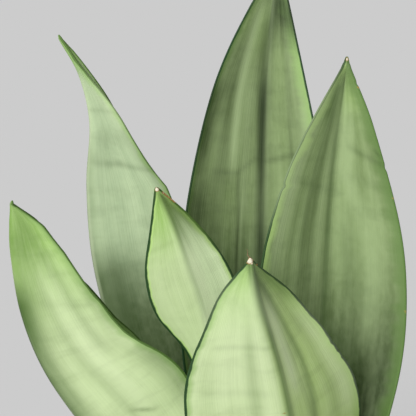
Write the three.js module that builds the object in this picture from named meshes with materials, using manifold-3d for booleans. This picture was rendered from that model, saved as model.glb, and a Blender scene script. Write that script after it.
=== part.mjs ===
// A moonshine snake plant in a plain pot: six pale folded leaves, the soil and the pot.
// Millimetres, +Z up. The pot's axis is Z, its foot is at z = 0, and the plant's front is -Y.
import * as THREE from 'three';
import { mergeVertices } from 'three/addons/utils/BufferGeometryUtils.js';
import Module from 'manifold-3d';

const wasm = await Module();
wasm.setup();
const { Manifold, Mesh: SolidMesh } = wasm;
const { PI, sin, cos, min, max, floor } = Math;
const rad = THREE.MathUtils.degToRad;

// Pot
const POT_HEIGHT = 130;
const POT_TOP_RADIUS = 75;
const POT_FOOT_RADIUS = 54;
const POT_WALL = 5;
const POT_FLOOR = 8;
const POT_SIDES = 64;
const FOOT_GROOVE = { inner: 24, outer: 42, depth: 3 };
const DRAIN = { count: 4, radius: 5, notchWidth: 8 };

// Soil
const SOIL_TOP = 118;
const SOIL_RELIEF = 1.3;
const SOIL_RINGS = 15;
const CLEARANCE = 0.3;

// Leaf blades
const LEAF_ROWS = 30;
const WING_STEPS = 6;
const BLADE_THICK = 3.0;
const MARGIN_THICK = 1.2;
const TIP_THICK = 0.9;
const ROOT_STOUTNESS = 1.3;
const TIP_STOUTNESS = 0.6;

// Every list runs evenly from the root in the soil to the tip.
// spine: the keel line. halfWidth: one wing laid flat; otherWidth: the other wing, where it
// differs. facing: where the inner face looks, in degrees from +X. fold: how steeply the wings
// rise from the keel. flare: fold gained on the way to the margin. keel: the share of a wing
// that rounds the keel. awn: the length of the stiff point at the tip.
const LEAVES = {
  leaf_front: {
    color: 0xb4cf94,
    spine: [[16, -25, 106], [13, -37, 155], [9, -50, 202], [4, -62, 235], [-1, -72, 258],
      [-6, -80, 279], [-9, -85, 297]],
    halfWidth: [16, 29, 38.5, 43, 41.5, 35, 25, 14.2, 1],
    otherWidth: [16, 34, 53.5, 46.5, 36, 28.5, 21.5, 12.5, 1],
    facing: [112, 108, 106, 106, 106],
    fold: [55, 43, 27, 28, 34, 42],
    flare: -16,
    keel: 0.15,
    awn: 1.5,
  },
  leaf_left: {
    color: 0xb0cb92,
    spine: [[-20, -8, 106], [-39, -9, 142], [-61, -12, 177], [-82, -17, 205],
      [-98.5, -22, 232], [-108, -27, 259], [-112, -30, 287], [-112.4, -31, 301.5],
      [-112, -32, 310]],
    halfWidth: [14, 27, 43, 51, 43.7, 35.8, 23, 15.5, 1],
    otherWidth: [14, 31, 47, 54, 44.2, 36.1, 24, 15.5, 1],
    facing: [20, 20, 16, 12, 10],
    fold: [60, 66, 72, 75, 75],
    flare: 10,
    keel: 0.14,
    awn: 1.5,
  },
  leaf_back_left: {
    color: 0xaec7a0,
    spine: [[-27, 22, 106], [-38, 38, 148], [-54, 47, 184], [-69, 55, 220], [-80, 62, 260],
      [-83.4, 68, 297], [-82.2, 71, 328], [-87.6, 73, 351], [-97, 75, 368]],
    halfWidth: [14, 25, 35, 43, 46, 39, 17.5, 5.5, 1],
    otherWidth: [14, 25, 35, 43, 46, 39, 17, 3.4, 1],
    facing: [0, 12, 18, 15, 5],
    fold: [60, 65, 68, 70, 75],
    flare: 10,
    keel: 0.2,
    awn: 2,
  },
  leaf_small: {
    color: 0xbdd8a4,
    spine: [[1, -2, 106], [-8, -5, 150], [-18, -8, 194], [-25, -12, 233], [-30, -16, 259],
      [-36, -20, 279], [-42, -23, 298], [-49, -25, 315]],
    halfWidth: [9, 9, 9, 8.5, 19.3, 19, 11, 1],
    otherWidth: [9, 10, 11, 14.5, 19.5, 17, 9.5, 1],
    facing: [104],
    fold: [45, 30, 16, 14, 20],
    flare: -8,
    keel: 0.15,
    awn: 1,
  },
  leaf_tall: {
    color: 0x8ea36c,
    spine: [[2, 24, 106], [-1, 33, 145], [-3, 43, 192], [-4, 52, 240], [-3, 60, 290],
      [-1, 67, 340], [3, 73, 379], [7, 76, 404]],
    halfWidth: [14, 26, 37, 41, 37.5, 25, 12, 1],
    otherWidth: [14, 26, 37, 41, 37.5, 27.5, 13.5, 1],
    facing: [270],
    fold: [50, 38, 30, 30, 40],
    flare: 0,
    keel: 0.2,
    awn: 3,
  },
  leaf_right: {
    color: 0x93a972,
    spine: [[34, 12, 106], [31, 13.3, 152], [29, 14.6, 193], [28, 14.6, 234], [29, 14, 274],
      [31, 16, 309], [34, 17, 340], [36, 18, 365]],
    halfWidth: [14, 25, 34, 39.5, 37.5, 28.5, 15.5, 1],
    facing: [225, 255, 272, 272, 271],
    fold: [50, 38, 32, 32, 40],
    flare: 0,
    keel: 0.15,
    awn: 2.5,
  },
};

// The value at s, from 0 to 1, of a smooth run through evenly spaced values.
function along(values, s) {
  const last = values.length - 1;
  if (last === 0) return values[0];
  const i = min(floor(s * last), last - 1);
  const f = s * last - i;
  const [b, c] = [values[i], values[i + 1]];
  const a = i > 0 ? values[i - 1] : 2 * b - c;
  const d = i + 2 <= last ? values[i + 2] : 2 * c - b;
  return b + 0.5 * f * (c - a + f * (2 * a - 5 * b + 4 * c - d + f * (3 * (b - c) + d - a)));
}

function pointOn(spine, s) {
  return new THREE.Vector3(...[0, 1, 2].map((axis) => along(spine.map((p) => p[axis]), s)));
}

// The leaf's place and its three directions at s: up the leaf, out of its inner face, to its side.
function leafFrame(leaf, s) {
  const step = 0.004;
  const up = pointOn(leaf.spine, min(s + step, 1)).sub(pointOn(leaf.spine, max(s - step, 0)));
  up.normalize();
  const facing = rad(along(leaf.facing, s));
  const inward = new THREE.Vector3(cos(facing), sin(facing), 0);
  inward.addScaledVector(up, -inward.dot(up)).normalize();
  return { at: pointOn(leaf.spine, s), up, inward, side: up.clone().cross(inward) };
}

// One wing's middle line from keel to margin, as points (across, inward) with their normals.
function wingLine(width, fold, flare, keel) {
  const slope = (m) => rad(THREE.MathUtils.smoothstep(m / keel, 0, 1) * (fold + flare * (m - 0.5)));
  const points = [{ across: 0, inward: 0, tilt: 0, m: 0 }];
  for (let k = 1; k <= WING_STEPS; k++) {
    const angle = slope((k - 0.5) / WING_STEPS);
    const from = points[k - 1];
    points.push({
      across: from.across + cos(angle) * width / WING_STEPS,
      inward: from.inward + sin(angle) * width / WING_STEPS,
      tilt: slope(k / WING_STEPS),
      m: k / WING_STEPS,
    });
  }
  return points;
}

// A closed ring round the blade at s: the outer face from margin to margin, then the inner one.
function leafRing(leaf, s, grow) {
  const { at, inward, side } = leafFrame(leaf, s);
  const wing = (widths) => {
    const width = max(along(widths, s), 1) + grow;
    return wingLine(width, along(leaf.fold, s) * min(width / 2.5, 1), leaf.flare, leaf.keel);
  };
  const line = wing(leaf.halfWidth);
  const otherLine = wing(leaf.otherWidth ?? leaf.halfWidth);
  const place = (half, p, off) => at.clone()
    .addScaledVector(side, half * (p.across - sin(p.tilt) * off))
    .addScaledVector(inward, p.inward + cos(p.tilt) * off);
  const thick = (m) => {
    const blade = BLADE_THICK + (MARGIN_THICK - BLADE_THICK) * m * m;
    const stoutness = ROOT_STOUTNESS + (TIP_STOUTNESS - ROOT_STOUTNESS) * s;
    return max(TIP_THICK, blade * stoutness) / 2 + grow;
  };
  const both = [...otherLine.slice(1).reverse().map((p) => [-1, p]), ...line.map((p) => [1, p])];
  const outer = both.map(([half, p]) => place(half, p, -thick(p.m)));
  const inner = both.map(([half, p]) => place(half, p, thick(p.m)));
  const edge = (half) => {
    const end = (half > 0 ? line : otherLine)[WING_STEPS];
    const reach = 0.5 * thick(1);
    const across = end.across + cos(end.tilt) * reach;
    return place(half, { ...end, across, inward: end.inward + sin(end.tilt) * reach }, 0);
  };
  return [...outer, edge(1), ...inner.reverse(), edge(-1)];
}

// A closed skin over rings of equal length. Both faces of the blade are split alike.
function skin(rings) {
  const n = rings[0].length;
  const half = n / 2;
  const position = rings.flat().flatMap((p) => [p.x, p.y, p.z]);
  const index = [];
  const id = (i, j) => i * n + (j % n);
  for (let i = 0; i + 1 < rings.length; i++) {
    for (let j = 0; j < n; j++) {
      const [a, b, c, d] = [id(i, j), id(i, j + 1), id(i + 1, j + 1), id(i + 1, j)];
      if (j < half) index.push(a, c, b, a, d, c);
      else index.push(a, d, b, b, d, c);
    }
  }
  cap(index, n, 0, false);
  cap(index, n, (rings.length - 1) * n, true);
  const geometry = new THREE.BufferGeometry();
  geometry.setAttribute('position', new THREE.Float32BufferAttribute(position, 3));
  geometry.setIndex(index);
  return geometry;
}

// Closes one end of a blade with a strip between its outer and inner face.
function cap(index, n, start, top) {
  const push = (a, b, c) => index.push(start + a, start + (top ? c : b), start + (top ? b : c));
  const last = n / 2 - 2;
  const inner = (j) => n - 2 - j;
  for (let j = 0; j < last; j++) {
    push(j, j + 1, inner(j + 1));
    push(j, inner(j + 1), inner(j));
  }
  push(last, last + 1, last + 2);
  push(n - 1, 0, n - 2);
}

// A leaf with the stiff little awn at its tip.
function leafGeometry(leaf) {
  const rings = [];
  for (let i = 0; i <= LEAF_ROWS; i++) rings.push(leafRing(leaf, i / LEAF_ROWS, 0));
  const { at, up } = leafFrame(leaf, 1);
  for (const k of [0.5, 1]) {
    const tip = at.clone().addScaledVector(up, leaf.awn * k);
    rings.push(rings[LEAF_ROWS].map((p) => p.clone().sub(at).multiplyScalar(1 - 0.3 * k).add(tip)));
  }
  return skin(rings);
}

// The plain hole that a leaf's root stands in, open at the soil's top.
function rootHole(leaf) {
  const rings = [0, 1, 2, 3, 4, 5].map((i) => leafRing(leaf, i / LEAF_ROWS, CLEARANCE));
  const below = leafFrame(leaf, 0).up.multiplyScalar(-CLEARANCE);
  rings[0].forEach((p) => p.add(below));
  return skin(rings);
}

function toSolid(geometry) {
  const bare = geometry.clone();
  bare.deleteAttribute('normal');
  bare.deleteAttribute('uv');
  const merged = mergeVertices(bare, 1e-4);
  const mesh = new SolidMesh({
    numProp: 3,
    vertProperties: new Float32Array(merged.attributes.position.array),
    triVerts: new Uint32Array(merged.index.array),
  });
  mesh.merge();
  return new Manifold(mesh);
}

function toGeometry(solid) {
  const mesh = solid.getMesh();
  const geometry = new THREE.BufferGeometry();
  geometry.setAttribute('position', new THREE.Float32BufferAttribute(mesh.vertProperties, 3));
  geometry.setIndex(Array.from(mesh.triVerts));
  return geometry;
}

// A body of revolution about Z from a closed outline of [radius, height] points.
function turned(outline, sides) {
  const points = [...outline, outline[0]].map(([r, z]) => new THREE.Vector2(r, z));
  return new THREE.LatheGeometry(points, sides).rotateX(PI / 2);
}

const wallRadius = (z) => POT_FOOT_RADIUS + (POT_TOP_RADIUS - POT_FOOT_RADIUS) * z / POT_HEIGHT;

// The pot: a plain taper with a rounded lip and a foot that lets water out.
function potGeometry() {
  const lip = POT_WALL / 2;
  const lipArc = [0, 1, 2, 3, 4, 5, 6].map((k) => {
    const angle = k * PI / 6;
    const middle = wallRadius(POT_HEIGHT) - lip;
    return [middle + lip * cos(angle), POT_HEIGHT - lip + lip * sin(angle)];
  });
  const inside = (z) => wallRadius(z) - POT_WALL;
  const { inner, outer, depth } = FOOT_GROOVE;
  const outline = [
    [0, 0], [inner, 0], [inner, depth], [outer, depth], [outer, 0],
    [wallRadius(0) - 2, 0], [wallRadius(0) - 0.6, 0.6], [wallRadius(2), 2],
    ...lipArc,
    [inside(POT_FLOOR + 5), POT_FLOOR + 5], [inside(POT_FLOOR) - 1.5, POT_FLOOR + 1.5],
    [inside(POT_FLOOR) - 5, POT_FLOOR], [0, POT_FLOOR],
  ];
  let pot = toSolid(turned(outline, POT_SIDES));
  const hole = Manifold.cylinder(POT_FLOOR + 2, DRAIN.radius, DRAIN.radius, 20)
    .translate([(inner + outer) / 2, 0, -1]);
  const [from, to] = [outer - 1, POT_FOOT_RADIUS + 2];
  const notch = Manifold.cube([to - from, DRAIN.notchWidth, 2 * depth], true)
    .translate([(from + to) / 2, 0, 0]);
  for (let k = 0; k < DRAIN.count; k++) {
    const angle = [0, 0, 360 * (k + 0.5) / DRAIN.count];
    pot = pot.subtract(hole.rotate(angle)).subtract(notch.rotate(angle));
  }
  return toGeometry(pot);
}

const soilRelief = (x, y) => SOIL_RELIEF
  * (0.55 * sin(x / 6.5 + 1.3 * sin(y / 11)) * cos(y / 7.5) + 0.45 * sin(x / 3.4 + y / 4.2));

// The soil: fills the pot to its level, with an uneven top and a hole for each leaf.
function soilGeometry() {
  const radius = (z) => wallRadius(z) - POT_WALL - CLEARANCE - 0.15;
  const low = POT_FLOOR + CLEARANCE;
  const position = [0, 0, SOIL_TOP + soilRelief(0, 0)];
  const addRing = (r, z, relief) => {
    for (let k = 0; k < POT_SIDES; k++) {
      const [x, y] = [r * cos(k * 2 * PI / POT_SIDES), r * sin(k * 2 * PI / POT_SIDES)];
      position.push(x, y, z + relief(x, y));
    }
  };
  const flat = () => 0;
  for (let i = 1; i <= SOIL_RINGS; i++) {
    addRing(radius(SOIL_TOP - 2) * i / SOIL_RINGS, SOIL_TOP, soilRelief);
  }
  addRing(radius(low + 5), low + 5, flat);
  addRing(radius(low + 5) - 6, low, flat);
  const foot = position.length / 3;
  position.push(0, 0, low);

  const index = [];
  const id = (ring, k) => 1 + ring * POT_SIDES + (k % POT_SIDES);
  const lowest = SOIL_RINGS + 1;
  for (let k = 0; k < POT_SIDES; k++) {
    index.push(0, id(0, k), id(0, k + 1));
    for (let i = 0; i < lowest; i++) {
      const [a, b, c, d] = [id(i, k), id(i + 1, k), id(i + 1, k + 1), id(i, k + 1)];
      index.push(a, b, c, a, c, d);
    }
    index.push(foot, id(lowest, k + 1), id(lowest, k));
  }
  const geometry = new THREE.BufferGeometry();
  geometry.setAttribute('position', new THREE.Float32BufferAttribute(position, 3));
  geometry.setIndex(index);
  let soil = toSolid(geometry);
  for (const leaf of Object.values(LEAVES)) soil = soil.subtract(toSolid(rootHole(leaf)));
  return toGeometry(soil);
}

function named(name, geometry, color, roughness) {
  const material = new THREE.MeshStandardMaterial({ color, roughness, metalness: 0 });
  const mesh = new THREE.Mesh(geometry, material);
  mesh.name = name;
  return mesh;
}

const plant = new THREE.Group();
plant.add(named('pot', potGeometry(), 0xd9d6ce, 0.75));
plant.add(named('soil', soilGeometry(), 0x3b2c22, 0.95));
for (const [name, leaf] of Object.entries(LEAVES)) {
  plant.add(named(name, leafGeometry(leaf), leaf.color, 0.5));
}

export default plant;
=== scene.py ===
# %% [markdown]
# # A potted moonshine snake plant
#
# Six pale, folded leaves stand in dark soil in a plain pot. A leaf of this plant is a thick,
# stiff blade: it folds along a rounded keel, widens slowly, and ends in a hard little point.
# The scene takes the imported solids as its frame, in metres, and dresses them: each leaf, the
# soil and the pot get a finer mesh of the same form, and every surface gets a finish made
# from nodes.

# %% The frame
import math

import bmesh
import bpy
import numpy as np
from mathutils import Matrix, Vector
from mathutils.noise import fractal


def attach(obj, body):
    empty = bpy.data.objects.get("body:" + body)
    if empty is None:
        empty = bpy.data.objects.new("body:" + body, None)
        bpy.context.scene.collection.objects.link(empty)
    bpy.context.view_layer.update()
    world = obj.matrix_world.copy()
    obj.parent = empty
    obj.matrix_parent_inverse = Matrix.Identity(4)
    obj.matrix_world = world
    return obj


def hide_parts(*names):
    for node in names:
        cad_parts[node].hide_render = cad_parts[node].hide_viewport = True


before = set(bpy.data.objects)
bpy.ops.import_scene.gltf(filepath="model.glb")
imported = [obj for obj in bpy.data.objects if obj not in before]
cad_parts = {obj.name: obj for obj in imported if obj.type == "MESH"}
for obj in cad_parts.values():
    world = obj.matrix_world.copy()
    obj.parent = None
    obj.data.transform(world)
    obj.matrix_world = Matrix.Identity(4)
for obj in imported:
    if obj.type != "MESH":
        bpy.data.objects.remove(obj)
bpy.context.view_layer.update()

MM = 0.001
print("nodes:", ", ".join(sorted(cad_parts)))


# %% [markdown]
# ## The camera
#
# The photograph was taken from a little above with a long lens, so the leaves keep their true
# widths from front to back. Its frame cuts the plant off above the soil and just under the
# tallest tip. The camera looks along +Y, tilted 12 degrees down, and its lens is given as the
# pixels that a metre covers at one metre away, for a frame 416 pixels wide.

# %% The camera
FRAME_PIXELS = 416
FOCAL_PIXELS = 2222.2
SENSOR = 36.0
CAMERA_AT = (-26.6, -978.1, 509.3)
CAMERA_TILT = 12

camera_data = bpy.data.cameras.new("studio_camera")
camera_data.sensor_width = SENSOR
camera_data.lens = SENSOR * FOCAL_PIXELS / FRAME_PIXELS
camera_data.clip_start, camera_data.clip_end = 0.05, 60.0
camera = bpy.data.objects.new("studio_camera", camera_data)
camera.location = Vector(CAMERA_AT) * MM
camera.rotation_euler = (math.radians(90 - CAMERA_TILT), 0, 0)
bpy.context.scene.collection.objects.link(camera)
bpy.context.scene.camera = camera
print("lens, mm:", round(camera_data.lens, 1))


# %% [markdown]
# ## Helpers for nodes
#
# A finish is a small machine of nodes, and wiring it by hand takes many lines. These helpers
# make one node at a time: an input that is given a socket is linked, and one that is given a
# number or a colour is set.

# %% Node helpers
def feed(tree, socket, source):
    if isinstance(source, bpy.types.NodeSocket):
        tree.links.new(source, socket)
    elif source is not None:
        if socket.type == "RGBA" and len(source) == 3:
            source = (*source, 1.0)
        socket.default_value = source


def add(tree, kind, inputs=None, **settings):
    node = tree.nodes.new("ShaderNode" + kind)
    for name, setting in settings.items():
        setattr(node, name, setting)
    for name, source in (inputs or {}).items():
        feed(tree, node.inputs[name], source)
    return node


def calc(tree, operation, *terms, clamp=False):
    node = add(tree, "Math", operation=operation, use_clamp=clamp)
    for socket, term in zip(node.inputs, terms):
        feed(tree, socket, term)
    return node.outputs[0]


def times(tree, first, second, clamp=False):
    return calc(tree, "MULTIPLY", first, second, clamp=clamp)


def step(tree, value, low, high, to=(0.0, 1.0)):
    """A smooth step: to[0] while value is under low, to[1] once it is over high."""
    node = add(tree, "MapRange", interpolation_type="SMOOTHSTEP", inputs={
        "Value": value, "From Min": low, "From Max": high, "To Min": to[0], "To Max": to[1]})
    return node.outputs[0]


def blend(tree, factor, first, second):
    node = add(tree, "Mix", data_type="RGBA")
    for socket, source in zip((node.inputs[0], node.inputs[6], node.inputs[7]),
                              (factor, first, second)):
        feed(tree, socket, source)
    return node.outputs[2]


def noise(tree, place, scale, detail=2.0, rough=0.5):
    return add(tree, "TexNoise", {"Vector": place, "Scale": scale, "Detail": detail,
                                  "Roughness": rough}).outputs[0]


def ramp(tree, value, stops, reach=1.0, way="EASE"):
    """A run of colours, from (place, colour) pairs in rising order, over 0 to reach."""
    node = add(tree, "ValToRGB", {"Fac": calc(tree, "DIVIDE", value, reach, clamp=True)})
    node.color_ramp.interpolation = way
    band = node.color_ramp.elements
    while len(band) < len(stops):
        band.new(1.0)
    for element, (where, colour) in zip(band, stops):
        element.position = where / reach
        element.color = (*colour, 1.0)
    return node.outputs[0]


def known(tree, name):
    """What the mesh knows at each point, by the name it was stored under."""
    return add(tree, "Attribute", attribute_name=name).outputs["Vector"]


def on_piece(tree):
    """Each point's own place on the piece, in metres."""
    return add(tree, "TexCoord").outputs["Object"]


def emboss(tree, shader, height, distance, strength=0.5):
    """Raises and sinks the light on a surface by a height map, distance metres deep."""
    bump = add(tree, "Bump", {"Height": height, "Distance": distance, "Strength": strength})
    feed(tree, shader.inputs["Normal"], bump.outputs[0])


def combine(tree, x, y, z):
    return add(tree, "CombineXYZ", {"X": x, "Y": y, "Z": z}).outputs[0]


def separate(tree, vector):
    return add(tree, "SeparateXYZ", {"Vector": vector}).outputs


SOCKETS = {"value": "NodeSocketFloat", "colour": "NodeSocketColor", "vector": "NodeSocketVector"}


def effect(name, takes, gives):
    """An empty node group with named sockets, and its two end nodes."""
    group = bpy.data.node_groups.new(name, "ShaderNodeTree")
    for label, (kind, start) in takes.items():
        socket = group.interface.new_socket(name=label, in_out="INPUT", socket_type=SOCKETS[kind])
        socket.default_value = start
    for label, kind in gives.items():
        group.interface.new_socket(name=label, in_out="OUTPUT", socket_type=SOCKETS[kind])
    return group, group.nodes.new("NodeGroupInput").outputs, group.nodes.new("NodeGroupOutput").inputs


def place_effect(tree, group, **inputs):
    node = tree.nodes.new("ShaderNodeGroup")
    node.node_tree = group
    for name, source in inputs.items():
        feed(tree, node.inputs[name.replace("_", " ").capitalize()], source)
    return node.outputs


def finish_material(name):
    material = bpy.data.materials.new(name)
    material.use_nodes = True
    shader = material.node_tree.nodes["Principled BSDF"]
    return material, material.node_tree, shader


def rgb(red, green, blue):
    """A colour as a paint chart gives it, 0 to 255, turned into the light it reflects."""
    chart = np.array([red, green, blue]) / 255
    return tuple(np.where(chart <= 0.04045, chart / 12.92, ((chart + 0.055) / 1.055) ** 2.4))


print("a leaf green in linear light:", [round(v, 3) for v in rgb(180, 207, 148)])


# %% [markdown]
# ## The studio
#
# The background is one even pale grey. A floor lit by a nearby lamp falls off with distance,
# so it would show a gradient. A sun lamp lights a floor evenly however far it goes, and a sun
# with a wide angle casts the soft shadows of a big window. It stands in front, a little to
# the left. The sky gives the fill light, and shows the floor's own grey past its far edge.

# %% The studio
BACKDROP = rgb(204, 204, 204)
FLOOR_RADIUS = 30.0


def wide_floor(radius, rings, sides):
    """A round flat floor of rings that grow outwards."""
    mesh = bmesh.new()
    turns = [np.arange(sides) * 2 * math.pi / sides] * rings
    loops = [[mesh.verts.new((r * math.cos(a), r * math.sin(a), 0)) for a in turn]
             for r, turn in zip(radius * (np.arange(1, rings + 1) / rings) ** 2, turns)]
    mesh.faces.new(loops[0])
    for inner, outer in zip(loops, loops[1:]):
        for k in range(sides):
            nxt = (k + 1) % sides
            mesh.faces.new((inner[k], outer[k], outer[nxt], inner[nxt]))
    return mesh


def new_object(name, mesh_or_bm):
    data = mesh_or_bm
    if isinstance(mesh_or_bm, bmesh.types.BMesh):
        data = bpy.data.meshes.new(name)
        mesh_or_bm.to_mesh(data)
        mesh_or_bm.free()
    data.polygons.foreach_set("use_smooth", [True] * len(data.polygons))
    thing = bpy.data.objects.new(name, data)
    bpy.context.scene.collection.objects.link(thing)
    return thing


floor = new_object("floor", wide_floor(FLOOR_RADIUS, 12, 96))

KEY_STRENGTH, KEY_ANGLE = 3.3, 40.0
KEY_FROM = Vector((-0.42, -0.75, 0.50))
FILL_STRENGTH = 0.22

key_data = bpy.data.lights.new("window_light", "SUN")
key_data.energy = KEY_STRENGTH
key_data.angle = math.radians(KEY_ANGLE)
key = bpy.data.objects.new("window_light", key_data)
key.rotation_euler = KEY_FROM.to_track_quat("Z", "Y").to_euler()
bpy.context.scene.collection.objects.link(key)

# The floor reflects what it gets from the lamp and the sky, so its own colour is worked out
# from the grey that it has to show.
lamp_on_floor = KEY_STRENGTH * KEY_FROM.normalized().z / math.pi
FLOOR_ALBEDO = BACKDROP[0] / (lamp_on_floor + FILL_STRENGTH)
floor_finish, tree, shader = finish_material("pale_floor")
grain = noise(tree, on_piece(tree), 900.0)
feed(tree, shader.inputs["Base Color"],
     blend(tree, step(tree, grain, 0.3, 0.7), (FLOOR_ALBEDO * 0.995,) * 3, (FLOOR_ALBEDO * 1.005,) * 3))
shader.inputs["Roughness"].default_value = 1.0
shader.inputs["Specular IOR Level"].default_value = 0.0
floor.data.materials.append(floor_finish)

sky = bpy.data.worlds.new("studio_sky")
sky.use_nodes = True
bpy.context.scene.world = sky
tree = sky.node_tree
tree.nodes.clear()
seen = add(tree, "LightPath").outputs["Is Camera Ray"]
fill = add(tree, "Background", {"Color": (1, 1, 1), "Strength": FILL_STRENGTH})
shown = add(tree, "Background", {"Color": (1, 1, 1), "Strength": BACKDROP[0]})
either = add(tree, "MixShader", {"Fac": seen})
tree.links.new(fill.outputs[0], either.inputs[1])
tree.links.new(shown.outputs[0], either.inputs[2])
tree.links.new(either.outputs[0], add(tree, "OutputWorld").inputs["Surface"])

view = bpy.context.scene.view_settings
view.view_transform, view.look, view.exposure, view.gamma = "Standard", "None", 0.0, 1.0
print("floor albedo:", round(FLOOR_ALBEDO, 3))


# %% [markdown]
# ## How a blade is drawn
#
# A leaf is drawn the way a boat builder draws a hull. The keel is a curve through a few
# points, from the root in the soil to the tip. At every height the two wings leave the keel
# at a fold angle, and each has a width measured along its own surface, as if it were laid
# flat. Lists of a few numbers give the keel, the widths, the fold and the way the inner face
# looks; a smooth curve runs through each list. The same lists shape the solids of the frame,
# so the finer blade lies where its solid does. It could also be a sheet with a Solidify
# modifier, but a real blade is thick at its keel and thin at its margin.

# %% The six leaves, millimetres and degrees
LEAVES = {
    "leaf_front": dict(
        spine=[(16, -25, 106), (13, -37, 155), (9, -50, 202), (4, -62, 235), (-1, -72, 258),
               (-6, -80, 279), (-9, -85, 297)],
        half_width=[16, 29, 38.5, 43, 41.5, 35, 25, 14.2, 1],
        other_width=[16, 34, 53.5, 46.5, 36, 28.5, 21.5, 12.5, 1],
        facing=[112, 108, 106, 106, 106], fold=[55, 43, 27, 28, 34, 42], flare=-16, keel=0.08,
        awn=1.5, pleats=[(-0.4, 0.5), (-0.74, 0.4), (0.45, 0.3)],
        nicks=[(-1, 0.517, 0.45, 1.4), (-1, 0.487, 0.4, 1.2), (-1, 0.46, 0.4, 1.3)]),
    "leaf_left": dict(
        spine=[(-20, -8, 106), (-39, -9, 142), (-61, -12, 177), (-82, -17, 205), (-98.5, -22, 232),
               (-108, -27, 259), (-112, -30, 286.3), (-112.4, -31, 300.5), (-112, -32, 310)],
        half_width=[14, 27, 43, 51, 43.7, 35, 21.5, 13, 1],
        other_width=[14, 31, 47, 54, 44.2, 36.1, 24, 15, 1],
        facing=[20, 20, 16, 12, 10], fold=[60, 66, 72, 75, 75], flare=10, keel=0.14, awn=1.5,
        pleats=[(-0.7, 0.5), (-0.45, 0.4)]),
    "leaf_back_left": dict(
        spine=[(-27, 22, 106), (-38, 38, 148), (-54, 47, 184), (-69, 55, 220), (-80, 62, 260),
               (-83.4, 68, 297), (-82.2, 71, 328), (-87.6, 73, 351), (-97, 75, 368)],
        half_width=[14, 25, 35, 43, 46, 39, 17.5, 5.5, 1],
        other_width=[14, 25, 35, 43, 46, 39, 15.8, 3.0, 1],
        facing=[0, 12, 18, 15, 5], fold=[60, 65, 68, 70, 75], flare=10, keel=0.2, awn=2,
        pleats=[(-0.5, 0.4)]),
    "leaf_small": dict(
        spine=[(1, -2, 106), (-8, -5, 150), (-18, -8, 194), (-25, -12, 233), (-30, -16, 259),
               (-36, -20, 279), (-42, -23, 298), (-49, -25, 315)],
        half_width=[9, 9, 9, 8.5, 19.3, 19, 11, 1],
        other_width=[9, 10, 11, 14.5, 19.5, 17, 9.5, 1],
        facing=[104], fold=[45, 30, 16, 14, 20], flare=-8, keel=0.1, awn=1,
        pleats=[(-0.22, 0.15), (-0.6, 0.3)]),
    "leaf_tall": dict(
        spine=[(2, 24, 106), (-1, 33, 145), (-3, 43, 192), (-4, 52, 240), (-3, 60, 290),
               (-1, 67, 340), (3, 73, 379), (7, 76, 404)],
        half_width=[14, 26, 37, 41, 37.5, 25, 12, 1],
        other_width=[14, 26, 37, 41, 37.5, 27.5, 13.5, 1],
        facing=[270], fold=[50, 38, 30, 30, 40], flare=0, keel=0.2, awn=3,
        pleats=[(-0.48, -0.7), (-0.7, 0.4), (0.6, 0.5), (0.3, -0.3)]),
    "leaf_right": dict(
        spine=[(34, 12, 106), (31, 13.3, 152), (29, 14.6, 193), (28, 14.6, 234), (29, 14, 274),
               (31, 16, 309), (34, 17, 340), (36, 18, 365)],
        half_width=[14, 25, 34, 39.5, 37.5, 28.5, 15.5, 1],
        facing=[225, 255, 272, 272, 271], fold=[50, 38, 32, 32, 40], flare=0, keel=0.15,
        awn=2.5, pleats=[(-0.48, 0.5), (-0.75, -0.4), (0.35, -0.4), (0.62, 0.3)],
        nicks=[(-1, 0.712, 1.0, 1.4), (1, 0.947, 0.5, 1.2), (1, 0.765, 0.5, 1.2)]),
}
BLADE_THICK, MARGIN_THICK, TIP_THICK = 3.0, 1.2, 0.9
PLEAT_WIDTH = 4.0
WAVE_DEPTH, WAVES = 0.25, 23
ROOT_STOUTNESS, TIP_STOUTNESS = 1.3, 0.6
print("leaves:", len(LEAVES))


# %% A smooth run through a list
def along(values, s):
    """The value at each s, from 0 to 1, of a smooth curve through evenly spaced values."""
    values = np.asarray(values, float)
    last = len(values) - 1
    if last == 0:
        return np.repeat(values, len(s), axis=0)
    padded = np.concatenate([[2 * values[0] - values[1]], values, [2 * values[-1] - values[-2]]])
    i = np.minimum((s * last).astype(int), last - 1)
    f = s * last - i
    if values.ndim > 1:
        f = f[:, None]
    a, b, c, d = (padded[i + k] for k in range(4))
    return b + 0.5 * f * (c - a + f * (2 * a - 5 * b + 4 * c - d + f * (3 * (b - c) + d - a)))


def unit(vectors):
    return vectors / np.linalg.norm(vectors, axis=-1, keepdims=True)


def smooth(x):
    x = np.clip(x, 0, 1)
    return x * x * (3 - 2 * x)


print("front leaf's half width at mid height, mm:",
      along(LEAVES["leaf_front"]["half_width"], np.array([0.5]))[0])


# %% [markdown]
# ## A blade's sections
#
# At each height the section is a closed loop: along the outer face from margin to margin,
# round the thin margin, and back along the inner face. Every point also keeps where it is on
# the leaf: how far across, how far up in millimetres, and how far from the margin. The finish
# is drawn with these, so that its fibres follow the leaf as it bends.

# %% The sections of a blade
WING_STEPS = 26
MARGIN_ROUND, MARGIN_REACH = np.radians([-60, -30, 0, 30, 60]), 0.7


def leaf_axes(leaf, s):
    """The keel point at s, and three directions: up the leaf, out of its inner face, to its side."""
    reach = 0.004
    at = along(leaf["spine"], s)
    up = unit(along(leaf["spine"], np.minimum(s + reach, 1))
              - along(leaf["spine"], np.maximum(s - reach, 0)))
    facing = np.radians(along(leaf["facing"], s))
    inward = np.stack([np.cos(facing), np.sin(facing), 0 * facing], -1)
    inward = unit(inward - (inward * up).sum(-1, keepdims=True) * up)
    return at, up, inward, np.cross(up, inward)


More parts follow.
